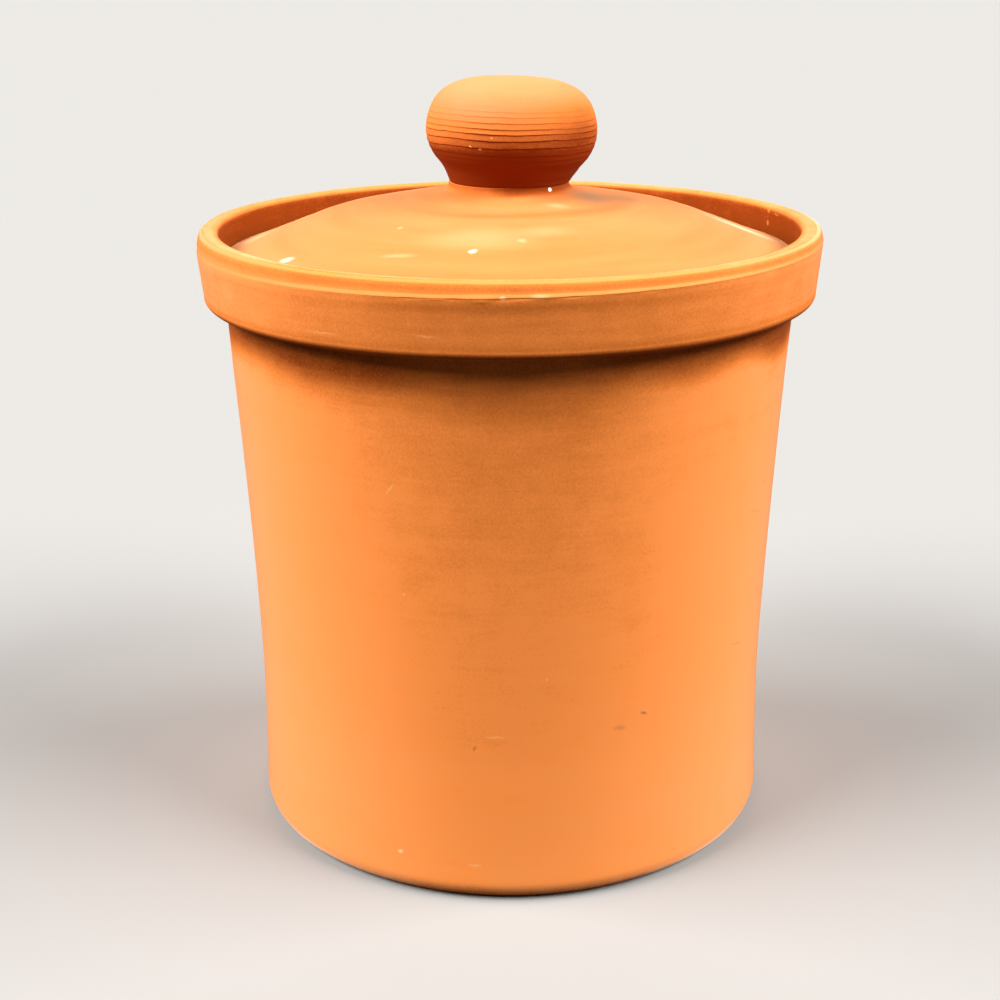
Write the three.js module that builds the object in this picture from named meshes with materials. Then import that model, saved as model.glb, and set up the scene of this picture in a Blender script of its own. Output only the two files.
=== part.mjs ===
// Unglazed terracotta tea canister, in millimetres with +Z up.
// The origin is the middle of the base, on the surface that the jar stands on.
// A jar with a collar holds a lid that sits down inside the collar, and a knob is luted onto the lid.

import * as THREE from 'three';

// Jar
const JAR_HEIGHT = 147.2;
const FOOT_RADIUS = 64;
const FOOT_ROUND = 4.8;
const WAIST_INSET = 0.6;
const SHOULDER_RADIUS = 68.1;
const WALL = 5;
const FLOOR_THICKNESS = 6;
const FLOOR_ROUND = 7;

// Collar and rim
const COLLAR_HEIGHT = 16.7;
const COLLAR_OVERHANG = 6;
const COLLAR_TAPER = 1;
const COLLAR_EDGE_ROUND = 2;
const COLLAR_WALL = 5.2;
const RIM_DEPTH = 3.6;
const BEAD_PROUD = 0.2;
const BEAD_HEIGHT = 1.2;
const CROWN_RISE = 1.6;
const CROWN_FALL = 0.7;
const MOUTH_ROUND = 0.5;
const LEDGE_DEPTH = 12.2;
const LEDGE_ROUND = 1;

// Lid
const LID_CLEARANCE = 0.8;
const LID_EDGE_HEIGHT = 5.3;
const LID_EDGE_ROUND = 1.3;
const LID_THICKNESS = 5.5;
const DOME_RISE = 14.6;
const FLANGE_DEPTH = 8;
const FLANGE_WALL = 4.5;
const FLANGE_CLEARANCE = 0.8;
const FLANGE_ROUND = 1.2;
const COVE = 2;

// Knob
const NECK_RADIUS = 14.2;
const KNOB_OVERHANG = 6.05;
const KNOB_UNDER_HEIGHT = 12;
const KNOB_TOP_HEIGHT = 12.1;

// Shares and exponents that give the curves their character
const waistHeightShare = 0.27;
const footCurve = 2;
const flareCurve = 1.4;
const beadLipShare = 0.25;
const bandRadiusShare = 0.2;
const crownShare = 0.3;
const knobTopCurve = 2.7;
const knobUnderCurve = 1.35;
// Distance out from the cove to the lid's edge, and fall from the cove's foot to that edge
const domeShares = [[0, 0], [0.15, 0.12], [0.345, 0.23], [0.548, 0.38], [0.722, 0.6], [1, 1]];

// Facets of the turned solids
const JAR_SEGMENTS = 64;
const KNOB_SEGMENTS = 48;
const ARC_STEPS = 4;
const FLANK_STEPS = 8;
const DOME_STEPS = 12;
const KNOB_STEPS = 9;

// Levels and radii that follow from the sizes above
const collarRadius = SHOULDER_RADIUS + COLLAR_OVERHANG;
const collarFootRadius = collarRadius - COLLAR_TAPER;
const collarInnerRadius = collarRadius - COLLAR_WALL;
const collarUndersideZ = JAR_HEIGHT - COLLAR_HEIGHT;
const creaseZ = JAR_HEIGHT - RIM_DEPTH;
const ledgeZ = JAR_HEIGHT - LEDGE_DEPTH;
const throatRadius = SHOULDER_RADIUS - WALL;
const lidRadius = collarInnerRadius - LID_CLEARANCE;
const flangeReach = Math.min(throatRadius, flankRadius(ledgeZ - FLANGE_DEPTH) - WALL);
const flangeRadius = flangeReach - FLANGE_CLEARANCE;
const knobRadius = NECK_RADIUS + KNOB_OVERHANG;
const coveFootZ = LID_EDGE_HEIGHT + DOME_RISE;
const knobSeatZ = coveFootZ + COVE;

// Outer radius of the jar's flank: a slight waist low down, then a flare up to the collar
function flankRadius(z) {
  const share = Math.min(z / collarUndersideZ, 1);
  const waist = FOOT_RADIUS - WAIST_INSET;
  if (share < waistHeightShare) {
    return waist + WAIST_INSET * ((waistHeightShare - share) / waistHeightShare) ** footCurve;
  }
  const flare = SHOULDER_RADIUS - waist;
  return waist + flare * ((share - waistHeightShare) / (1 - waistHeightShare)) ** flareCurve;
}

function point(radius, z) {
  return new THREE.Vector2(radius, z);
}

// Points along part of an ellipse, both ends included; angles are in quarter turns from outward to up
function arc(radius, z, reach, rise, fromQuarter, toQuarter) {
  return Array.from({ length: ARC_STEPS + 1 }, (_, step) => {
    const angle = (fromQuarter + (toQuarter - fromQuarter) * step / ARC_STEPS) * Math.PI / 2;
    return point(radius + reach * Math.cos(angle), z + rise * Math.sin(angle));
  });
}

function round(radius, z, size, fromQuarter, toQuarter) {
  return arc(radius, z, size, size, fromQuarter, toQuarter);
}

// Points up or down the flank, a wall's thickness inside it or on its face
function flank(fromZ, toZ, inset) {
  return Array.from({ length: FLANK_STEPS + 1 }, (_, step) => {
    const z = fromZ + (toZ - fromZ) * step / FLANK_STEPS;
    return point(flankRadius(z) - inset, z);
  });
}

// The lid's upper face as a spline from the foot of the cove out to the rounded edge
const domeCurve = new THREE.SplineCurve(domeShares.map(([out, fall]) => {
  const start = NECK_RADIUS + COVE;
  const reach = lidRadius - LID_EDGE_ROUND - start;
  return point(start + reach * out, coveFootZ - DOME_RISE * fall);
}));

function turned(outline, segments) {
  return new THREE.LatheGeometry(outline, segments).rotateX(Math.PI / 2);
}

function jarOutline() {
  const bandRadius = collarRadius + BEAD_PROUD * bandRadiusShare;
  const crownWidth = bandRadius - collarInnerRadius;
  const crownRadius = bandRadius - crownWidth * crownShare;
  const cavityFootRadius = flankRadius(FLOOR_THICKNESS + FLOOR_ROUND) - WALL;
  return [
    point(0, 0),
    ...round(flankRadius(FOOT_ROUND) - FOOT_ROUND, FOOT_ROUND, FOOT_ROUND, -1, 0),
    ...flank(FOOT_ROUND, collarUndersideZ, 0).slice(1),
    ...round(collarFootRadius - COLLAR_EDGE_ROUND, collarUndersideZ + COLLAR_EDGE_ROUND,
      COLLAR_EDGE_ROUND, -1, 0),
    point(collarRadius, creaseZ),
    point(collarRadius + BEAD_PROUD, creaseZ + BEAD_HEIGHT * beadLipShare),
    point(bandRadius, creaseZ + BEAD_HEIGHT),
    ...arc(crownRadius, JAR_HEIGHT - CROWN_RISE, crownWidth * crownShare, CROWN_RISE, 0, 1),
    ...round(collarInnerRadius + MOUTH_ROUND, JAR_HEIGHT - CROWN_FALL - MOUTH_ROUND, MOUTH_ROUND, 1, 2),
    point(collarInnerRadius, ledgeZ),
    ...round(throatRadius + LEDGE_ROUND, ledgeZ - LEDGE_ROUND, LEDGE_ROUND, 1, 2),
    ...flank(collarUndersideZ, FLOOR_THICKNESS + FLOOR_ROUND, WALL),
    ...round(cavityFootRadius - FLOOR_ROUND, FLOOR_THICKNESS + FLOOR_ROUND, FLOOR_ROUND, 0, -1).slice(1),
    point(0, FLOOR_THICKNESS),
  ];
}

// The lid's own level zero is the face that rests on the jar's ledge
function lidOutline() {
  const flangeInnerRadius = flangeRadius - FLANGE_WALL;
  const dome = domeCurve.getSpacedPoints(DOME_STEPS);
  const overHollow = dome.filter((top) => top.x < flangeInnerRadius - FLANGE_ROUND);
  return [
    point(0, coveFootZ - LID_THICKNESS),
    ...overHollow.map((top) => point(top.x, top.y - LID_THICKNESS)),
    point(flangeInnerRadius, domeHeight(flangeInnerRadius) - LID_THICKNESS),
    ...round(flangeInnerRadius + FLANGE_ROUND, FLANGE_ROUND - FLANGE_DEPTH, FLANGE_ROUND, -2, -1),
    ...round(flangeRadius - FLANGE_ROUND, FLANGE_ROUND - FLANGE_DEPTH, FLANGE_ROUND, -1, 0),
    point(flangeRadius, 0),
    point(lidRadius, 0),
    ...round(lidRadius - LID_EDGE_ROUND, LID_EDGE_HEIGHT - LID_EDGE_ROUND, LID_EDGE_ROUND, 0, 1),
    ...dome.reverse().slice(1),
    ...round(NECK_RADIUS + COVE, knobSeatZ, COVE, -1, -2).slice(1),
    point(0, knobSeatZ),
  ];
}

// Height of the lid's upper face at a radius, read along its curve
function domeHeight(radius) {
  const steps = DOME_STEPS * ARC_STEPS;
  const points = domeCurve.getPoints(steps);
  const outer = points.findIndex((top) => top.x >= radius);
  const [a, b] = [points[outer - 1], points[outer]];
  return a.y + (b.y - a.y) * (radius - a.x) / (b.x - a.x);
}

// The knob's own level zero is the seam where it is luted onto the lid
function knobOutline() {
  const under = Array.from({ length: KNOB_STEPS + 1 }, (_, step) => {
    const share = step / KNOB_STEPS;
    const swell = (1 + Math.cos(Math.PI * (1 - share) ** knobUnderCurve)) / 2;
    return point(NECK_RADIUS + KNOB_OVERHANG * swell, KNOB_UNDER_HEIGHT * share);
  });
  const top = Array.from({ length: KNOB_STEPS + 1 }, (_, step) => {
    const angle = step / KNOB_STEPS * Math.PI / 2;
    const out = Math.cos(angle) ** (2 / knobTopCurve);
    const up = Math.sin(angle) ** (2 / knobTopCurve);
    return point(knobRadius * out, KNOB_UNDER_HEIGHT + KNOB_TOP_HEIGHT * up);
  });
  const crown = point(0, KNOB_UNDER_HEIGHT + KNOB_TOP_HEIGHT);
  return [point(0, 0), ...under, ...top.slice(1, -1), crown];
}

function terracotta(colour) {
  return new THREE.MeshStandardMaterial({ color: colour, roughness: 0.85, metalness: 0 });
}

function piece(name, geometry, material) {
  const mesh = new THREE.Mesh(geometry, material);
  mesh.name = name;
  return mesh;
}

const jar = piece('jar_body', turned(jarOutline(), JAR_SEGMENTS), terracotta(0xdd8848));

const lid = new THREE.Group();
lid.position.z = ledgeZ;
lid.add(piece('lid', turned(lidOutline(), JAR_SEGMENTS), terracotta(0xe5984f)));

const knob = piece('lid_knob', turned(knobOutline(), KNOB_SEGMENTS), terracotta(0xd98145));
knob.position.z = knobSeatZ;
lid.add(knob);

const canister = new THREE.Group();
canister.add(jar, lid);

export default canister;
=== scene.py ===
"""Unglazed terracotta tea canister: a turned jar, a domed lid down inside its collar, and a ball knob."""

import math

import bpy
import numpy as np
from mathutils import Matrix, Vector


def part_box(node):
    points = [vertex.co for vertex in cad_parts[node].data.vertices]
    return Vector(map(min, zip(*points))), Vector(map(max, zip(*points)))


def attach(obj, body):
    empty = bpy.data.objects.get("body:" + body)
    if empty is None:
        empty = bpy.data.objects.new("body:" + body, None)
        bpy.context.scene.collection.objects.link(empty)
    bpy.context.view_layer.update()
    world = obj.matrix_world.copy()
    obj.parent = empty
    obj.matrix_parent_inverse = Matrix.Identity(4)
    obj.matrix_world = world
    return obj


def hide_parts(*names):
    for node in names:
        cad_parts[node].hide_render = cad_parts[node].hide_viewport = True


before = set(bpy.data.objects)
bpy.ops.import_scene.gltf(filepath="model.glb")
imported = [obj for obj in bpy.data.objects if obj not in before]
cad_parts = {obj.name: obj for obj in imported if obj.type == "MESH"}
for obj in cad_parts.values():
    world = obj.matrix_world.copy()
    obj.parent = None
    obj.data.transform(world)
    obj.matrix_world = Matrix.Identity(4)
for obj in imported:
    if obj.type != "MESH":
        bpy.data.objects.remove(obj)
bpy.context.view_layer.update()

MM = 0.001


def corners_mm(name):
    """Lowest and highest corner of a CAD node, in millimetres."""
    low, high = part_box(name)
    return np.array(low) / MM, np.array(high) / MM


_, jar_high = corners_mm("jar_body")
lid_low, lid_high = corners_mm("lid")
knob_low, knob_high = corners_mm("lid_knob")

# Jar, in millimetres
JAR_HEIGHT = jar_high[2]
BEAD_PROUD = 0.2
COLLAR_RADIUS = jar_high[0] - BEAD_PROUD
COLLAR_HEIGHT = 16.9
COLLAR_OVERHANG = 6
COLLAR_WALL = 5.2
COLLAR_TAPER = 1.0
COLLAR_EDGE_ROUND = 1.8
COLLAR_OFFSET = 0.2
RIM_DEPTH = 3.6
LEDGE_DEPTH = 12.2
LEDGE_CORNER = 0.5
COLLAR_UNDERSIDE = JAR_HEIGHT - COLLAR_HEIGHT
COLLAR_INNER_RADIUS = COLLAR_RADIUS - COLLAR_WALL
CREASE_HEIGHT = JAR_HEIGHT - RIM_DEPTH
LEDGE_HEIGHT = JAR_HEIGHT - LEDGE_DEPTH
SHOULDER_RADIUS = COLLAR_RADIUS - COLLAR_OVERHANG
INLET_ROUND = 0.8
FOOT_RADIUS = 64
FOOT_ROUND = 4.8
WAIST_INSET = 0.6
WAIST_SHARE = 0.27
FLARE_CURVE = 1.4
WALL = 5
FLOOR = 6
FLOOR_ROUND = 7
THROAT_ROUND = 1

# The rim above the crease: distance out from the collar's face, and height over the crease
LIP = ((0, -1.4), (0.05, -0.5), (0.1, -0.12), (0.16, 0.04))
RIM = ((0.16, 0.04), (0.09, 0.5), (0, 1), (-0.17, 1.8), (-0.36, 2.4), (-0.62, 2.9), (-1, 3.2), (-1.45, 3.46))
CROWN = ((-1.45, 3.46), (-2.1, 3.6), (-3, 3.5), (-4, 3.22), (-4.7, 2.98), (-5.05, 2.8), (-5.2, 2.45))

# Lid, with heights above its seat on the ledge
LID_RADIUS = lid_high[0]
FLANGE_DEPTH = LEDGE_HEIGHT - lid_low[2]
FLANGE_CLEARANCE = 1.1
FLANGE_RADIUS = SHOULDER_RADIUS - WALL - FLANGE_CLEARANCE
FLANGE_CORNER = 0.3
FLANGE_WALL = 4.5
FLANGE_ROUND = 1.2
LID_EDGE_HEIGHT = 5.8
LID_EDGE_ROUND = 1.3
LID_FOOT_ROUND = 0.8
LID_THICKNESS = 5.5
COVE = 2
KNOB_SEAT = lid_high[2] - LEDGE_HEIGHT
# The dome: share of the way out from the cove to the edge, and share of the fall between them
DOME_SHARES = ((0, 0), (0.15, 0.124), (0.345, 0.238), (0.548, 0.393), (0.722, 0.62), (0.88, 0.84), (1, 1))
LID_OFFSET = 0.1
KNOB_OFFSET = 0.45

# Knob, with heights above its seat on the lid
NECK_RADIUS = 14.2
KNOB_HEIGHT = knob_high[2] - knob_low[2]
# Radius and height down the ball, from its flat crown to its neck
BALL = (
    (0, KNOB_HEIGHT),
    (5, KNOB_HEIGHT - 0.12),
    (9.9, KNOB_HEIGHT - 0.62),
    (13.1, KNOB_HEIGHT - 1.5),
    (16.1, KNOB_HEIGHT - 3.05),
    (18.3, KNOB_HEIGHT - 5.4),
    (19.65, KNOB_HEIGHT - 8.4),
    (20.2, KNOB_HEIGHT - 11.7),
    (19.8, 9.2),
    (18.4, 6.2),
    (16.35, 3.7),
    (15.0, 1.5),
    (14.5, 0.5),
    (NECK_RADIUS, 0),
)
KNOB_LEAN = math.radians(1.95)
KNOB_SUNK = 0.1
LEAN_BLEND = 3

JAR_SEGMENTS = 400
LID_SEGMENTS = 360
KNOB_SEGMENTS = 320
FLANK_STEP = 0.8
INSIDE_STEP = 1.5


# Outlines: lists of (radius, height) from axis to axis, round each piece's section


def refined(points, step):
    """The same line with a point at least every step millimetres."""
    points = np.array(points, float)
    out = [points[:1]]
    for a, b in zip(points, points[1:]):
        count = max(1, math.ceil(np.linalg.norm(b - a) / step))
        out.append(a + (b - a) * np.linspace(0, 1, count + 1)[1:, None])
    return np.concatenate(out)


def arc(centre, size, start, end, step):
    """A rounding's points; start and end are in degrees from outward to up."""
    count = max(4, math.ceil(math.radians(abs(end - start)) * size / step) + 1)
    angles = np.radians(np.linspace(start, end, count))
    return np.column_stack([centre[0] + size * np.cos(angles), centre[1] + size * np.sin(angles)])


def through(points, step):
    """A Catmull-Rom curve through points, with a point at least every step millimetres."""
    points = np.array(points, float)
    ends = np.concatenate([points[:1], points, points[-1:]])
    out = []
    for a, b, c, d in zip(ends, ends[1:], ends[2:], ends[3:]):
        count = max(2, math.ceil(np.linalg.norm(c - b) / step))
        share = np.linspace(0, 1, count, endpoint=False)[:, None]
        slope_b = (c - a) / 2
        slope_c = (d - b) / 2
        square = 3 * c - 3 * b - 2 * slope_b - slope_c
        cube = 2 * b - 2 * c + slope_b + slope_c
        out.append(cube * share**3 + square * share**2 + slope_b * share + b)
    return np.concatenate([*out, points[-1:]])


def flank_radius(height):
    """Outer radius of the jar's flank: a slight waist low down, then a flare up to the collar."""
    share = np.clip(np.asarray(height, float) / COLLAR_UNDERSIDE, 0, 1)
    waist = FOOT_RADIUS - WAIST_INSET
    below = np.clip(1 - share / WAIST_SHARE, 0, 1)
    above = np.clip((share - WAIST_SHARE) / (1 - WAIST_SHARE), 0, 1)
    return waist + WAIST_INSET * below**2 + (SHOULDER_RADIUS - waist) * above**FLARE_CURVE


def jar_outline():
    """The jar's skin as stretches: base, flank, collar, mouth and inside."""
    foot_centre = (float(flank_radius(FOOT_ROUND)) - FOOT_ROUND, FOOT_ROUND)
    base = refined([(0, 0), (foot_centre[0], 0)], 2)
    foot = arc(foot_centre, FOOT_ROUND, -90, 0, 0.6)[1:]
    heights = np.arange(FOOT_ROUND + FLANK_STEP, COLLAR_UNDERSIDE - INLET_ROUND, FLANK_STEP)
    flank = np.column_stack([flank_radius(heights), heights])
    inlet_centre = (SHOULDER_RADIUS + INLET_ROUND, COLLAR_UNDERSIDE - INLET_ROUND)
    inlet = arc(inlet_centre, INLET_ROUND, 180, 90, 0.2)
    foot_radius = COLLAR_RADIUS - COLLAR_TAPER - COLLAR_EDGE_ROUND
    edge = arc((foot_radius, COLLAR_UNDERSIDE + COLLAR_EDGE_ROUND), COLLAR_EDGE_ROUND, -90, 5, 0.15)
    rise = np.array([(COLLAR_RADIUS, CREASE_HEIGHT)])
    lip = refined(rise + LIP, 0.1)
    face = refined([edge[-1], lip[0]], 0.4)[1:-1]
    rim = through(rise + RIM, 0.16)[1:]
    crown = through(rise + CROWN, 0.2)[1:]
    mouth = refined([crown[-1], (COLLAR_INNER_RADIUS, LEDGE_HEIGHT + LEDGE_CORNER)], 0.8)[1:]
    throat = SHOULDER_RADIUS - WALL
    ledge_ends = [(COLLAR_INNER_RADIUS - LEDGE_CORNER, LEDGE_HEIGHT), (throat + THROAT_ROUND, LEDGE_HEIGHT)]
    ledge = refined(ledge_ends, 1)
    throat_lip = arc((throat + THROAT_ROUND, LEDGE_HEIGHT - THROAT_ROUND), THROAT_ROUND, 90, 180, 0.3)[1:]
    heights = np.arange(LEDGE_HEIGHT - THROAT_ROUND - INSIDE_STEP, FLOOR + FLOOR_ROUND, -INSIDE_STEP)
    inside = np.column_stack([flank_radius(heights) - WALL, heights])
    corner = (float(flank_radius(FLOOR + FLOOR_ROUND)) - WALL - FLOOR_ROUND, FLOOR + FLOOR_ROUND)
    floor_arc = arc(corner, FLOOR_ROUND, 0, -90, 1.2)
    floor = refined([(corner[0], FLOOR), (0, FLOOR)], 1.5)[1:]
    return {
        "base": base,
        "flank": np.concatenate([foot, flank, inlet]),
        "collar": np.concatenate([edge, face, lip, rim]),
        "mouth": np.concatenate([crown, mouth, ledge, throat_lip]),
        "inside": np.concatenate([inside, floor_arc, floor]),
    }


def dome_outline():
    """The lid's upper face, from the foot of the cove out to the rounded edge."""
    start = NECK_RADIUS + COVE
    reach = LID_RADIUS - LID_EDGE_ROUND - start
    top = KNOB_SEAT - COVE
    fall_total = top - LID_EDGE_HEIGHT
    return through([(start + reach * out, top - fall_total * fall) for out, fall in DOME_SHARES], 0.7)


def dome_height(radius):
    """Height of the lid's upper face above its seat."""
    dome = dome_outline()
    return float(np.interp(radius, dome[:, 0], dome[:, 1]))


def lid_outline():
    """The lid's skin as stretches: underside with its flange, upper face, and the knob's seat."""
    dome = dome_outline()
    inner = FLANGE_RADIUS - FLANGE_WALL
    root = (inner - FLANGE_ROUND, dome_height(inner) - LID_THICKNESS - FLANGE_ROUND)
    hollow = [(r, z - LID_THICKNESS) for r, z in dome[::3] if r < root[0] - 1]
    hollow = refined([(0, hollow[0][1]), *hollow], 2)
    root_arc = arc(root, FLANGE_ROUND, 90, 0, 0.3)
    tip = FLANGE_ROUND - FLANGE_DEPTH
    flange_in = refined([root_arc[-1], (inner, tip)], 1)[1:]
    tip_in = arc((inner + FLANGE_ROUND, tip), FLANGE_ROUND, 180, 270, 0.3)[1:]
    tip_out = arc((FLANGE_RADIUS - FLANGE_ROUND, tip), FLANGE_ROUND, -90, 0, 0.3)
    seat_in = (FLANGE_RADIUS + FLANGE_CORNER, 0)
    seat_out = (LID_RADIUS - LID_FOOT_ROUND, 0)
    flange_out = refined([tip_out[-1], (FLANGE_RADIUS, -FLANGE_CORNER), seat_in, seat_out], 1)[1:]
    foot = arc((LID_RADIUS - LID_FOOT_ROUND, LID_FOOT_ROUND), LID_FOOT_ROUND, -90, 0, 0.3)[1:]
    edge_centre = (LID_RADIUS - LID_EDGE_ROUND, LID_EDGE_HEIGHT - LID_EDGE_ROUND)
    edge = arc(edge_centre, LID_EDGE_ROUND, 0, 70, 0.2)
    cove = arc((NECK_RADIUS + COVE, KNOB_SEAT), COVE, -90, -180, 0.2)[1:]
    seat = refined([(NECK_RADIUS, KNOB_SEAT), (0, KNOB_SEAT)], 3)[1:]
    return {
        "under": np.concatenate([hollow, root_arc, flange_in, tip_in, tip_out, flange_out]),
        "top": np.concatenate([foot, edge, dome[::-1], cove]),
        "seat": seat,
    }


def knob_outline():
    """The knob's skin as stretches: its flat foot, and the ball from neck to crown."""
    foot = refined([(0, 0), (NECK_RADIUS, 0)], 3)[:-1]
    return {"foot": foot, "ball": through(BALL, 0.1)[::-1]}


# Relief: hand-made unevenness, in millimetres along the surface's normal


def waves(seed, length, count=14):
    """A smooth random field over space, about -1 to 1, with features about length millimetres long."""
    rng = np.random.RandomState(seed)
    turns = rng.normal(size=(count, 3))
    turns *= (2 * math.pi / length * rng.uniform(0.6, 1.4, count) / np.linalg.norm(turns, axis=1))[:, None]
    phases = rng.uniform(0, 2 * math.pi, count)

    def field(points):
        return np.cos(points @ turns.T + phases).sum(1) * math.sqrt(2 / count) / 2

    return field


def bell(value, centre, width):
    """A bell-shaped rise of 1 at centre."""
    return np.exp(-(((value - centre) / width) ** 2))


def between(value, low, high, soft):
    """1 between low and high, fading to 0 over soft on both sides."""
    return np.clip((value - low) / soft + 1, 0, 1) * np.clip((high - value) / soft + 1, 0, 1)


def azimuth_of(points):
    """Degrees round the canister: 0 at the front, 90 on its right."""
    return np.degrees(np.arctan2(points[:, 0], -points[:, 1]))


# Fields of unevenness, each from its own seed and the length of its features in millimetres
wall_drift = waves(3, 55)
wall_rings = waves(7, 5)
foot_line_drift = waves(8, 40)
foot_line_depth = waves(9, 50)
throwing_drift = waves(5, 60)
rim_drift = waves(12, 14)
rim_grain = waves(13, 3)
dome_rings = waves(21, 45)
dome_drift = waves(22, 38)
ball_drift = waves(33, 22)
spiral_drift = waves(31, 15)
spiral_depth = waves(32, 12)
spiral_rag = waves(34, 3)
hem_drift = waves(14, 30)

# Pitch and depth of the marks that making leaves, in millimetres
TURNED_LINE_HEIGHT = 9
THROWING_PITCH = 8.5
THROWING_DEPTH = 0.2
WIRE_PITCH = 3.1
WIRE_DEPTH = 0.05
WIRE_MARGIN = 7
RIM_PRESS = 0.3
FINGER_PITCH = 6.5
FINGER_DEPTH = 0.1
SPONGE_PITCH = 5.3
SPONGE_DEPTH = 0.02

# Painted shading: 0 on a plain wall, above 0 painted light, below it painted shade, down to -1, the deep
# colour
PAINTED_SHADING_HEIGHTS = (0, 20, 45, 95, 114, 118, 122, 126, 130.3, 132.2, 134, 142, 143.6, 144.2, 145, 145.6)
PAINTED_SHADING = (0.12, 0.12, 0, -0.04, -0.14, -0.32, -0.5, -0.62, -0.66, -0.35, -0.08, -0.08, 0, 0.05, -0.35, -0.5)
CROWN_PAINTED_SHADE = -0.85
# The painted shadow under the collar ends more sharply away from the front, and the flank is painted lighter
# there
SIDE_HEIGHTS = (110, 118, 120, 121.4, 122.8, 124, 125.5, 130, 131.5)
SIDE_PAINTED_SHADING = (0.2, 0.3, 0.25, 0.15, -0.06, -0.2, -0.32, -0.25, 0)

# Nicks (below 0) and drops of slip: azimuth, height, half width, half height, depth
NICKS = (
    (-1.3, CREASE_HEIGHT - 0.2, 1.3, 0.5, -0.16),
    (1.6, CREASE_HEIGHT - 0.1, 2.6, 0.3, -0.12),
    (-4.8, CREASE_HEIGHT - 0.65, 0.8, 0.4, 0.14),
    (4.9, CREASE_HEIGHT + 0.2, 2.6, 0.6, 0.1),
    (9.5, CREASE_HEIGHT - 0.15, 1.6, 0.25, -0.1),
    (-9.0, CREASE_HEIGHT - 0.2, 1.2, 0.25, -0.1),
    (-16.0, CREASE_HEIGHT - 0.15, 2.0, 0.25, -0.08),
    (22.0, CREASE_HEIGHT - 0.15, 1.4, 0.25, -0.08),
    (-3.5, 41.9, 2.4, 0.25, 0.07),
    (-3.5, 41.2, 2.0, 0.25, -0.07),
)


def jar_relief(points, place):
    """Slow drift of the wall, throwing rings inside, a turned line above the foot, nicks in the bead."""
    height = points[:, 2]
    azimuth = azimuth_of(points)
    radius = np.hypot(points[:, 0], points[:, 1])
    if place == "base":
        wire = np.cos(points[:, 1] * 2 * math.pi / WIRE_PITCH + 0.8 * throwing_drift(points)) - 1
        return WIRE_DEPTH * wire * (radius < FOOT_RADIUS - WIRE_MARGIN)
    if place == "inside":
        climb = (height - azimuth / 360 * THROWING_PITCH) * 2 * math.pi / THROWING_PITCH
        rings = np.cos(climb + 0.8 * throwing_drift(points)) * between(height, 18, LEDGE_HEIGHT - 8, 6)
        spiral = np.cos(radius * 2 * math.pi / THROWING_PITCH + np.radians(azimuth))
        spiral *= between(radius, 3, 48, 3) * (height < FLOOR + 0.01)
        return THROWING_DEPTH * (rings + spiral)
    drift = 0.06 * (wall_drift(points) - 1) * between(height, 12, JAR_HEIGHT, 10)
    # A finger pressed the rim in above its bead, round the front
    pressed = between(azimuth, -35, 35, 55) * between(height, CREASE_HEIGHT + 0.85, JAR_HEIGHT, 0.75)
    drift -= RIM_PRESS * pressed
    if place == "mouth":
        drift *= np.clip((radius - COLLAR_INNER_RADIUS - 0.3) / 1.5, 0, 1)
        return drift + 0.02 * rim_drift(points) * (height > LEDGE_HEIGHT + 1)
    across = points * (0.1, 0.1, 1)
    rings = 0.01 * wall_rings(across) * between(height, 8, COLLAR_UNDERSIDE - 2, 4)
    line_height = TURNED_LINE_HEIGHT + 0.12 * foot_line_drift(points)
    line = bell(height, line_height, 0.5) * (0.55 + 0.45 * foot_line_depth(points))
    relief = drift + rings - 0.04 * line - 0.02 * bell(height, line_height + 2.3, 0.4)
    if place == "collar":
        bead = between(height, CREASE_HEIGHT, CREASE_HEIGHT + 0.7, 0.25)
        # The bead was wiped nearly flat on the jar's left
        relief -= bead * (0.03 + 0.03 * rim_drift(points) + 0.12 * bell(azimuth, -80, 40))
        relief += 0.01 * rim_grain(across) * (height > COLLAR_UNDERSIDE + 2)
    for turn, level, half_width, half_height, depth in NICKS:
        along = np.radians(azimuth - turn) * radius
        relief += depth * bell(along, 0, half_width) * bell(height, level, half_height)
    return relief


def jar_settle(points, place):
    """The collar is a little off the middle, and its rim and bead run slightly out of level."""
    levels = (120, COLLAR_UNDERSIDE, CREASE_HEIGHT, JAR_HEIGHT)
    tilts = (0, 0.0005, 0.012, -0.002)
    if place in ("mouth", "inside", "base"):
        tilts = (0, 0, 0, -0.002)
    moved = points.copy()
    moved[:, 0] += COLLAR_OFFSET * np.interp(points[:, 2], (115, COLLAR_UNDERSIDE), (0, 1))
    moved[:, 2] += points[:, 0] * np.interp(points[:, 2], levels, tilts)
    return moved


def jar_painted_shading(points, place):
    """Painted light at the foot and bead, painted shade under the collar and bead, in the mouth; deep inside.
    """
    if place in ("base", "inside"):
        return np.full(len(points), -1.0)
    if place == "mouth":
        # Painted shade on the crown and the inner wall, where the collar and lid shade the mouth
        radius = np.hypot(points[:, 0], points[:, 1])
        return np.interp(radius - COLLAR_INNER_RADIUS, (0, 0.2, 0.9, 1.6), (-1, -1.05, -0.95, CROWN_PAINTED_SHADE))
    azimuth = azimuth_of(points)
    turn = np.abs(azimuth)
    height = points[:, 2] + 1.2 * hem_drift(points) * between(points[:, 2], 112, 126, 4)
    painted_shading = np.interp(height, PAINTED_SHADING_HEIGHTS, PAINTED_SHADING)
    painted_shading += np.clip((turn - 10) / 35, 0, 1) * np.interp(height, SIDE_HEIGHTS, SIDE_PAINTED_SHADING)
    # The painted shadow reaches lower at the front left, and is painted lighter at the front right
    painted_shading -= 0.22 * bell(azimuth, -25, 14) * bell(height, 122.5, 3)
    painted_shading += 0.3 * bell(azimuth, 42, 28) * bell(height, 121.5, 5)
    # Painted shade close under the bead, round the front
    return painted_shading - 0.3 * bell(turn, 0, 30) * bell(height, 142, 1.6)


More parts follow.
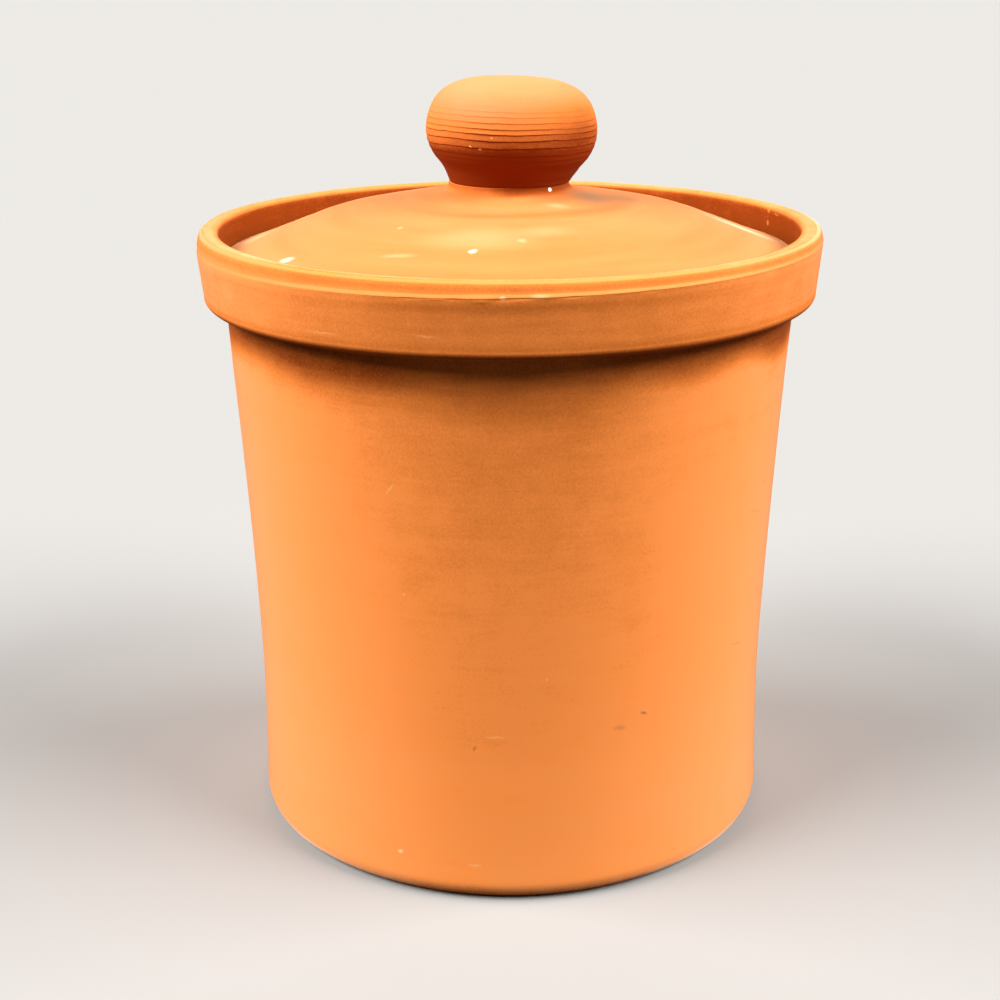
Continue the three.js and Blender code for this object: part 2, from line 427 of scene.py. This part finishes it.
def lid_relief(points, place):
    """Soft rings left by a sponge on the dome and by a finger under it."""
    radius = np.hypot(points[:, 0], points[:, 1])
    if place == "seat":
        return np.zeros(len(points))
    if place == "under":
        turn = np.arctan2(points[:, 1], points[:, 0])
        rings = FINGER_DEPTH * np.cos(radius * 2 * math.pi / FINGER_PITCH + turn)
        return rings * between(radius, 6, FLANGE_RADIUS - FLANGE_WALL - 6, 4) * (points[:, 2] > 2)
    rings = SPONGE_DEPTH * np.cos(radius * 2 * math.pi / SPONGE_PITCH + 0.6 * dome_rings(points))
    return (rings + 0.06 * dome_drift(points) - 0.06) * between(radius, 20, LID_RADIUS - 4, 4)


def lid_settle(points, place):
    """The lid was put down a little to the right of the middle."""
    return points + (LID_OFFSET, 0, 0)


def lid_painted_shading(points, place):
    """Painted shadow of the knob round its neck and in a ring in front, painted light on the edge, deep
    below.
    """
    if place != "top":
        return np.full(len(points), -1.0)
    azimuth = azimuth_of(points)
    radius = np.hypot(points[:, 0], points[:, 1]) + 0.8 * dome_drift(points)
    # Painted shadow of the knob round its neck, weaker on its left; painted shade in a ring in front of it
    painted_knob_shadow = np.interp(radius, (14.4, 15.2, 16.5, 20), (-1.3, -0.8, -0.35, 0))
    painted_knob_shadow *= 1 - 0.6 * between(azimuth, -180, -20, 20)
    ring = -0.5 * bell(radius, 27, 2.6) * between(azimuth, -40, 60, 40)
    # Painted light towards the edge, where the rim's shade falls
    edge = np.interp(radius, (56, LID_RADIUS), (0, 0.4))
    return painted_knob_shadow + ring + edge


# The spiral that the turning tool left on the ball: its lips' heights at the front, turn by turn
SPIRAL_HEIGHTS = (4.2, 5.5, 6.8, 8.0, 9.7, 11.4, 12.8, 13.9, 15.2, 16.5, 17.6, 18.8)
SPIRAL_DEPTHS = (0, 0.04, 0.08, 0.12, 0.17, 0.18, 0.17, 0.12, 0.08, 0.05, 0.03, 0)


def knob_relief(points, place):
    """Each turn of the spiral ends below in a lip that hangs over the turn under it, like lapped boards."""
    if place == "foot":
        return np.zeros(len(points))
    height = points[:, 2]
    turn = np.interp(height, SPIRAL_HEIGHTS, range(len(SPIRAL_HEIGHTS)))
    turn += 0.1 * spiral_drift(points) + 0.04 * spiral_rag(points) - azimuth_of(points) / 360
    share = turn % 1
    swell = np.maximum(np.clip(1 - share / 0.9, 0, 1) ** 1.6, (share - 0.9) / 0.1) - 0.5
    depth = np.interp(height, SPIRAL_HEIGHTS, SPIRAL_DEPTHS)
    depth *= np.clip(1 + 0.6 * spiral_depth(points), 0.2, 1.7)
    return swell * depth + 0.05 * (ball_drift(points) - 0.6) * between(height, 3, KNOB_HEIGHT, 3)


def knob_painted_shading(points, place):
    """Painted shade on the neck and under the ball, more on its right; painted light low and high on its
    left.
    """
    azimuth = azimuth_of(points)
    height = points[:, 2]
    painted_shading = np.interp(height, (6, 8, 9.7, 11.5, 13, 16, 19), (-1.3, -0.9, -0.72, -0.6, -0.4, -0.08, 0))
    # Painted light low on the left, painted shade high on the right, a painted highlight high on the left
    painted_shading += 0.35 * bell(azimuth, -60, 30) * bell(height, 10.5, 3.5)
    painted_shading -= 0.4 * bell(azimuth, 55, 35) * between(height, 12.5, 18, 3)
    return painted_shading + 0.4 * bell(azimuth, -38, 35) * bell(height, 18.5, 4)


def knob_settle(points, place):
    """The knob was luted on a little crooked: it leans to its right above the seat."""
    lift = np.clip(points[:, 2] / LEAN_BLEND, 0, 1)
    blend = lift * lift * (3 - 2 * lift)
    moved = points.copy()
    moved[:, 0] += points[:, 2] * math.sin(KNOB_LEAN) * blend + KNOB_OFFSET
    moved[:, 2] -= (points[:, 0] * math.sin(KNOB_LEAN) + KNOB_SUNK) * blend
    return moved


# Meshes


def turned(name, stretches, segments, relief, settle, painted_shading, base_height=0):
    """A closed skin turned round Z from its outline's stretches, each with its relief, settling and painted
    light and shade.
    """
    outline = np.concatenate(list(stretches.values()))
    places = np.array([place for place, points in stretches.items() for _ in points])
    apart = np.linalg.norm(np.diff(outline, axis=0), axis=1) > 1e-4
    keep = np.concatenate([[True], apart])
    outline = outline[keep]
    places = places[keep]
    tangent = np.gradient(outline, axis=0)
    tangent /= np.linalg.norm(tangent, axis=1)[:, None]
    angles = np.arange(segments) * 2 * math.pi / segments - math.pi / 2
    around = np.column_stack([np.cos(angles), np.sin(angles)])
    rings = []
    painted_shading_values = []
    for (radius, height), (out, up), place in zip(outline[1:-1], tangent[1:-1], places[1:-1]):
        points = np.column_stack([radius * around, np.full(segments, height)])
        normals = np.column_stack([up * around, np.full(segments, -out)])
        painted_shading_values.append(painted_shading(points, place))
        rings.append(settle(points + normals * relief(points, place)[:, None], place))
    poles = np.array([(0, 0, outline[0][1]), (0, 0, outline[-1][1])], float)
    painted_shading_values.append(painted_shading(poles, places[-1]))
    vertices = np.concatenate([*rings, settle(poles, places[-1])])
    vertices[:, 2] += base_height
    first, last = len(vertices) - 2, len(vertices) - 1
    ring = np.arange(segments)
    after = (ring + 1) % segments
    top = (len(rings) - 1) * segments
    faces = [(first, b, a) for a, b in zip(ring.tolist(), after.tolist())]
    for low in range(0, top, segments):
        high = low + segments
        faces += np.column_stack([ring + low, after + low, after + high, ring + high]).tolist()
    faces += [(top + a, top + b, last) for a, b in zip(ring.tolist(), after.tolist())]
    mesh = bpy.data.meshes.new(name)
    mesh.from_pydata((vertices * MM).tolist(), [], faces)
    mesh.polygons.foreach_set("use_smooth", [True] * len(mesh.polygons))
    # Each point's painted light and shade, read by the material
    mesh.attributes.new("painted_shading", "FLOAT", "POINT").data.foreach_set("value", np.concatenate(painted_shading_values))
    mesh.update()
    made = bpy.data.objects.new(name, mesh)
    bpy.context.scene.collection.objects.link(made)
    return made


# Materials


def linear(hex_colour):
    """An sRGB hex colour as linear RGBA."""
    channels = [int(hex_colour[i : i + 2], 16) / 255 for i in (1, 3, 5)]
    return (*[c / 12.92 if c <= 0.04045 else ((c + 0.055) / 1.055) ** 2.4 for c in channels], 1)


def add(tree, kind, inputs, **settings):
    """Adds a node with its settings, and a link or a value for each named or numbered input."""
    made = tree.nodes.new(kind)
    for key, value in settings.items():
        setattr(made, key, value)
    for socket, value in inputs.items():
        if isinstance(value, bpy.types.NodeSocket):
            tree.links.new(value, made.inputs[socket])
        else:
            made.inputs[socket].default_value = value
    return made


def on_wall(azimuth, height, radius, half_width, half_height, tilt=0):
    """Place, turn and half size of a mark on an upright wall."""
    angle = math.radians(azimuth)
    place = (radius * math.sin(angle), -radius * math.cos(angle), height)
    return place, (0, math.radians(tilt), angle), (half_width, 1.5, half_height)


def on_dome(azimuth, radius, half_width, half_depth, tilt=0):
    """Place, turn and half size of a mark on the lid's upper face; a deep one follows the dome's fall."""
    angle = math.radians(azimuth)
    place = (radius * math.sin(angle), -radius * math.cos(angle), LEDGE_HEIGHT + dome_height(radius))
    return place, (0, 0, angle + math.radians(tilt)), (half_width, half_depth, max(2.5, half_depth / 2))


# Marks: where and how large, softness, strength and colour.
# The jar: dark nicks and scratches, mostly on its right, pale scuffs, chips in its bead and inside its rim.
JAR_MARKS = (
    (on_wall(65.1, 90.3, 65.5, 0.5, 0.5), 0.5, 0.8, "#7A3A1C"),
    (on_wall(61, 84.3, 65.2, 5.0, 0.3, 16), 0.7, 0.4, "#A05526"),
    (on_wall(57, 52.2, 63.8, 4.4, 0.3, 14), 0.7, 0.45, "#A05526"),
    (on_wall(28, 44.4, 63.5, 1.2, 0.5, 20), 0.6, 0.6, "#8A4622"),
    (on_wall(22.5, 41.9, 63.5, 2.2, 0.8, 5), 0.8, 0.35, "#9A5228"),
    (on_wall(-3.5, 42.0, 63.5, 3.0, 0.3), 0.7, 0.5, "#F5B878"),
    (on_wall(-7.7, 39.1, 63.4, 0.5, 0.8, 25), 0.6, 0.45, "#94501F"),
    (on_wall(-24.2, 10.4, 63.7, 0.9, 0.7), 0.6, 0.75, "#F8C48C"),
    (on_wall(-8, 9.4, 63.7, 2.4, 0.5), 0.8, 0.4, "#F5B878"),
    (on_wall(-23.1, 99.8, 66.1, 2.6, 0.4, -50), 0.8, 0.4, "#F5B470"),
    (on_wall(-21.4, 75.2, 64.8, 0.4, 0.4), 0.6, 0.5, "#F8C48C"),
    (on_wall(6.9, 56.1, 63.9, 0.35, 0.35), 0.6, 0.5, "#F8C48C"),
    (on_wall(-13.5, 135.4, 73.4, 3.5, 0.3, 3), 0.8, 0.5, "#F2AC68"),
    (on_wall(-32.3, 134.2, 73.3, 6.0, 0.35, -2), 0.8, 0.45, "#F2AC68"),
    (on_wall(-1.3, 143.7, 74.2, 1.0, 0.5), 0.6, 0.7, "#FBCB96"),
    (on_wall(4.5, 144.0, 74.2, 2.6, 0.6), 0.8, 0.5, "#F9BE84"),
    (on_wall(108.3, 145.9, 69.1, 0.8, 0.6), 0.6, 0.7, "#D8843E"),
    (on_wall(108.5, 142.8, 69.1, 0.7, 0.9), 0.6, 0.7, "#D8843E"),
    (on_wall(104.5, 145.6, 69.1, 2.0, 0.4), 0.7, 0.5, "#D8843E"),
)

# The lid: white drops and streaks of slip, paler patches, a grey-brown patch beside the knob, painted light
# at its left end and a painted highlight on its right edge
LID_MARKS = (
    (on_dome(-57.9, 58.7, 2.8, 1.8, 38), 1.0, 0.85, "#FFF4D8"),
    # Painted light on the lid's left end, where the rim's shade falls
    (on_dome(-95, 63, 8.0, 10.0), 1.0, 0.32, "#F8D4A4"),
    (on_dome(-9.6, 47.3, 1.0, 1.4, -60), 0.7, 0.8, "#FFEFCC"),
    (on_wall(41.3, 156.1, 14.7, 0.65, 0.45), 0.5, 1.0, "#FFF4E4"),
    (on_dome(-28.6, 50.4, 6.0, 1.1, 11), 1.0, 0.24, "#FCDCA4"),
    (on_dome(-39.3, 38.3, 0.8, 1.2), 0.8, 0.3, "#FCDCA4"),
    (on_dome(-9, 41, 18.0, 10.0), 1.0, 0.22, "#F2C48C"),
    (on_dome(31, 21.8, 4.2, 2.2, -30), 1.0, 0.22, "#FAD49C"),
    (on_dome(12, 37.5, 9.0, 5.0), 1.0, 0.12, "#FCDCA4"),
    (on_dome(3.6, 42.5, 1.6, 1.6), 1.0, 0.25, "#FDE3B0"),
    (on_dome(71, 20.5, 11.0, 9.0), 1.0, 0.75, "#8E6C4E"),
    (on_dome(88, 27, 8.0, 8.0), 1.0, 0.4, "#8E6C4E"),
    # A painted highlight along the lid's right edge
    (on_dome(92, 56, 5.0, 16.0), 1.0, 0.6, "#FADAB8"),
)

# Grains of pale grit in the knob's side
KNOB_MARKS = (
    (on_wall(-19.6, 166.2, 19.8, 0.45, 0.25), 0.6, 0.7, "#F8C48C"),
    (on_wall(-26.4, 166.9, 19.9, 0.5, 0.25), 0.6, 0.6, "#F8C48C"),
    (on_wall(-11.3, 168.8, 20.1, 0.45, 0.25), 0.6, 0.6, "#F8C48C"),
)


# Sizes of the clay's patterns, in millimetres; round the axis, streaks are counted by the angle
STREAK_WIDTH = 1.1
STREAKS_PER_RADIAN = 5
WIPE_TO_STREAK = 5
CLOUD_WIDTH = 38
MOTTLE_WIDTH = 6
SAND_WIDTH = 0.5
RAG_PER_MM = 1.1
RAG_SHIFT = 0.8


def clay(name, under, side, top, marks, dust, wiped):
    """Unglazed terracotta, thrown, turned and sponged: dull, sandy, streaked the way that it was turned.

    Upper faces are painted paler and lower ones deeper, as painted light and shade, and the mesh adds its own
    painted shading.
    Its colours are the deep one of painted shade, that of a plain wall and the paler one of painted light.
    The dust is the most sheen that it gets, and wiped is how much the sponge's wipes show.
    """
    made = bpy.data.materials.new(name)
    made.use_nodes = True
    tree = made.node_tree
    tree.nodes.clear()
    place = add(tree, "ShaderNodeTexCoord", {})
    in_mm = {0: place.outputs["Object"], 1: [1 / MM] * 3}
    mm = add(tree, "ShaderNodeVectorMath", in_mm, operation="MULTIPLY").outputs[0]

    # Streaks run round the axis: 1.1 mm across the turning, and 13 mm along it at the wall.
    # The sponge's wipes lie the same way, five times as wide and five times as long.
    level = add(tree, "ShaderNodeVectorMath", {0: mm, 1: (1, 1, 0)}, operation="MULTIPLY").outputs[0]
    bearing = add(tree, "ShaderNodeVectorMath", {0: level}, operation="NORMALIZE").outputs[0]
    out = add(tree, "ShaderNodeVectorMath", {0: level}, operation="LENGTH").outputs["Value"]
    out = add(tree, "ShaderNodeMath", {0: out, 1: 1 / STREAK_WIDTH}, operation="MULTIPLY").outputs[0]
    up = add(tree, "ShaderNodeSeparateXYZ", {0: mm}).outputs["Z"]
    up = add(tree, "ShaderNodeMath", {0: up, 1: 1 / STREAK_WIDTH}, operation="MULTIPLY").outputs[0]
    out = add(tree, "ShaderNodeCombineXYZ", {"Z": out}).outputs[0]
    turned_way = {0: bearing, 1: (STREAKS_PER_RADIAN, STREAKS_PER_RADIAN, 0), 2: out}
    turned_way = add(tree, "ShaderNodeVectorMath", turned_way, operation="MULTIPLY_ADD").outputs[0]
    streaks = {"Vector": turned_way, "W": up, "Scale": 1, "Detail": 3, "Roughness": 0.6}
    streaks = add(tree, "ShaderNodeTexNoise", streaks, noise_dimensions="4D").outputs[0]
    wipes = {"Vector": turned_way, "W": up, "Scale": 1 / WIPE_TO_STREAK, "Detail": 2, "Roughness": 0.5}
    wipes = add(tree, "ShaderNodeTexNoise", wipes, noise_dimensions="4D").outputs[0]

    # Clouds of tone 38 mm across and sponge mottle 6 mm.
    # The sand is about 0.2 mm, drawn at 0.5 mm so that it shows from the camera.
    clouds = add(tree, "ShaderNodeTexNoise", {"Vector": mm, "Scale": 1 / CLOUD_WIDTH, "Detail": 2}).outputs[0]
    mottle = {"Vector": mm, "Scale": 1 / MOTTLE_WIDTH, "Detail": 4}
    mottle = add(tree, "ShaderNodeTexNoise", mottle).outputs[0]
    sand = add(tree, "ShaderNodeTexNoise", {"Vector": mm, "Scale": 1 / SAND_WIDTH, "Detail": 2}).outputs[0]

    # Tone from -1, deep, to 1, pale: painted light and shade by how the face lies and from the mesh, random
    # tone from the noises
    facing = add(tree, "ShaderNodeSeparateXYZ", {0: place.outputs["Normal"]}).outputs["Z"]
    painted_shading = add(tree, "ShaderNodeAttribute", {}, attribute_name="painted_shading").outputs["Fac"]
    tone = {0: facing, 1: 0.7, 2: painted_shading}
    tone = add(tree, "ShaderNodeMath", tone, operation="MULTIPLY_ADD").outputs[0]
    for source, share in ((clouds, 0.4), (mottle, 0.25), (wipes, wiped), (streaks, 0.22), (sand, 0.4)):
        centred = add(tree, "ShaderNodeMath", {0: source, 1: 0.5}, operation="SUBTRACT").outputs[0]
        tone = {0: centred, 1: share, 2: tone}
        tone = add(tree, "ShaderNodeMath", tone, operation="MULTIPLY_ADD").outputs[0]
    deeper = add(tree, "ShaderNodeMapRange", {"Value": tone, "From Min": 0, "From Max": -1}).outputs[0]
    colour = {"Factor": deeper, 6: linear(side), 7: linear(under)}
    colour = add(tree, "ShaderNodeMix", colour, data_type="RGBA").outputs[2]
    paler = add(tree, "ShaderNodeMapRange", {"Value": tone, "From Min": 0, "From Max": 1}).outputs[0]
    colour = {"Factor": paler, 6: colour, 7: linear(top)}
    colour = add(tree, "ShaderNodeMix", colour, data_type="RGBA").outputs[2]

    # Marks, their edges shifted by a rag 0.9 mm wide
    rag = add(tree, "ShaderNodeTexNoise", {"Vector": mm, "Scale": RAG_PER_MM, "Detail": 2}).outputs["Color"]
    ragged = {0: rag, 1: [RAG_SHIFT] * 3, 2: mm}
    ragged = add(tree, "ShaderNodeVectorMath", ragged, operation="MULTIPLY_ADD").outputs[0]
    centred = {0: ragged, 1: [RAG_SHIFT / 2] * 3}
    centred = add(tree, "ShaderNodeVectorMath", centred, operation="SUBTRACT").outputs[0]
    for (centre, turn, half_size), softness, strength, paint in marks:
        local = {"Vector": centred, "Location": centre, "Rotation": turn, "Scale": half_size}
        local = add(tree, "ShaderNodeMapping", local, vector_type="TEXTURE").outputs[0]
        reach = add(tree, "ShaderNodeVectorMath", {0: local}, operation="LENGTH").outputs["Value"]
        mask = {"Value": reach, "From Min": 1, "From Max": 1 - softness, "To Max": strength}
        mask = add(tree, "ShaderNodeMapRange", mask, interpolation_type="SMOOTHSTEP").outputs[0]
        colour = {"Factor": mask, 6: colour, 7: linear(paint)}
        colour = add(tree, "ShaderNodeMix", colour, data_type="RGBA").outputs[2]

    rise = add(tree, "ShaderNodeMath", {0: streaks, 1: 0.5, 2: sand}, operation="MULTIPLY_ADD").outputs[0]
    grain = add(tree, "ShaderNodeBump", {"Strength": 0.5, "Distance": 0.02 * MM, "Height": rise}).outputs[0]
    roughness = {"Value": mottle, "From Min": 0.3, "From Max": 0.7, "To Min": 0.74, "To Max": 0.88}
    roughness = add(tree, "ShaderNodeMapRange", roughness).outputs[0]
    # Dry, porous clay has hardly any gloss, even seen along its surface
    body = {"Base Color": colour, "Roughness": roughness, "IOR": 1.48, "Specular IOR Level": 0.05}
    # The sheen fades where the tone is deep, so the painted shade and the deepest clay get none
    dusty = {"Value": tone, "From Min": -0.35, "From Max": 0, "To Max": dust}
    dusty = add(tree, "ShaderNodeMapRange", dusty).outputs[0]
    body |= {"Sheen Weight": dusty, "Sheen Roughness": 0.45, "Sheen Tint": linear("#FFD8B0")}
    shader = add(tree, "ShaderNodeBsdfPrincipled", {**body, "Normal": grain})
    add(tree, "ShaderNodeOutputMaterial", {"Surface": shader.outputs[0]})
    return made


# One clay in three copies: lid and knob are painted darker to offset the stronger light on them; top colours
# are painted light
# and under colours are painted shade
jar_clay = clay("terracotta_jar", "#84380A", "#F3883A", "#DC945A", JAR_MARKS, dust=0.8, wiped=0.15)
lid_clay = clay("terracotta_lid", "#8A3A0A", "#CC6C2C", "#D28446", LID_MARKS, dust=0.2, wiped=1.2)
knob_clay = clay("terracotta_knob", "#7A2C06", "#DA7632", "#DC8E5C", KNOB_MARKS, dust=0.05, wiped=0.3)


# Pieces

jar = turned("turned_jar", jar_outline(), JAR_SEGMENTS, jar_relief, jar_settle, jar_painted_shading)
lid = turned("domed_lid", lid_outline(), LID_SEGMENTS, lid_relief, lid_settle, lid_painted_shading, LEDGE_HEIGHT)
knob = turned("ball_knob", knob_outline(), KNOB_SEGMENTS, knob_relief, knob_settle, knob_painted_shading, knob_low[2])

for piece, material, body, node, slot in (
    (jar, jar_clay, "jar", "jar_body", "jar_terracotta"),
    (lid, lid_clay, "lid", "lid", "lid_terracotta"),
    (knob, knob_clay, "lid", "lid_knob", "knob_terracotta"),
):
    piece.data.materials.append(material)
    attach(piece, body)
    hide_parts(node)


# Studio: a pale floor and backdrop, soft light from above and from both sides

PAPER_RADIUS = 14.0
PAPER_SIDES = 96

floor_mesh = bpy.data.meshes.new("floor")
floor_edge = np.arange(PAPER_SIDES) * 2 * math.pi / PAPER_SIDES
floor_ring = [(PAPER_RADIUS * math.cos(turn), PAPER_RADIUS * math.sin(turn), 0) for turn in floor_edge]
floor_mesh.from_pydata(floor_ring, [], [list(range(len(floor_ring)))])
floor = bpy.data.objects.new("floor", floor_mesh)
bpy.context.scene.collection.objects.link(floor)


def seen_plainly(tree):
    """1 for rays that come from the camera or off a gloss, which see the studio's pale colour."""
    rays = add(tree, "ShaderNodeLightPath", {})
    seen = {0: rays.outputs["Is Camera Ray"], 1: rays.outputs["Is Glossy Ray"]}
    return add(tree, "ShaderNodeMath", seen, operation="MAXIMUM").outputs[0]


# Matt paper: pale to the eye, but it throws little light up at the pot
paper = bpy.data.materials.new("matt_paper")
paper.use_nodes = True
sheet = paper.node_tree
sheet.nodes.clear()
shade = {"Factor": seen_plainly(sheet), 6: linear("#504F4D"), 7: linear("#9C9A97")}
shade = add(sheet, "ShaderNodeMix", shade, data_type="RGBA").outputs[2]
matt = add(sheet, "ShaderNodeBsdfDiffuse", {"Color": shade})
add(sheet, "ShaderNodeOutputMaterial", {"Surface": matt.outputs[0]})
floor_mesh.materials.append(paper)

world = bpy.data.worlds.new("studio")
world.use_nodes = True
bpy.context.scene.world = world
sky = world.node_tree
sky.nodes.clear()
fill = add(sky, "ShaderNodeBackground", {"Color": linear("#FFFFFF"), "Strength": 0.05})
backdrop = add(sky, "ShaderNodeBackground", {"Color": linear("#ECEAE6"), "Strength": 1})
mixed = {0: seen_plainly(sky), 1: fill.outputs[0], 2: backdrop.outputs[0]}
mixed = add(sky, "ShaderNodeMixShader", mixed)
add(sky, "ShaderNodeOutputWorld", {"Surface": mixed.outputs[0]})


def soft_sun(name, azimuth, elevation, strength, spread):
    """A broad lamp far away, at an azimuth from the front and an elevation, in degrees."""
    lamp = bpy.data.lights.new(name, "SUN")
    lamp.energy = strength
    lamp.angle = math.radians(spread)
    holder = bpy.data.objects.new(name, lamp)
    side, rise = math.radians(azimuth), math.radians(elevation)
    towards = Vector((math.sin(side) * math.cos(rise), -math.cos(side) * math.cos(rise), math.sin(rise)))
    holder.rotation_euler = towards.to_track_quat("Z", "Y").to_euler()
    bpy.context.scene.collection.objects.link(holder)


soft_sun("lamp_left", -62, 44, 3.6, 30)
soft_sun("lamp_right", 62, 42, 3.3, 30)
soft_sun("lamp_far_left", -94, 30, 2.9, 30)
soft_sun("lamp_far_right", 94, 30, 2.8, 30)
soft_sun("lamp_behind", 180, 12, 1.3, 60)


# Camera: at the photograph's angle and distance, found from the rim and base curves

CAMERA_PLACE = (-2.45, -406.86, 212.21)
PITCH_DOWN = math.radians(18.4)
ROLL = math.radians(-0.37)

camera_data = bpy.data.cameras.new("camera")
camera_data.sensor_width = 36.0
camera_data.lens = 61.2
camera = bpy.data.objects.new("camera", camera_data)
camera.matrix_world = (
    Matrix.Translation(Vector(CAMERA_PLACE) * MM)
    @ Matrix.Rotation(math.pi / 2 - PITCH_DOWN, 4, "X")
    @ Matrix.Rotation(ROLL, 4, "Z")
)
bpy.context.scene.collection.objects.link(camera)
bpy.context.scene.camera = camera
bpy.context.scene.view_settings.view_transform = "Standard"
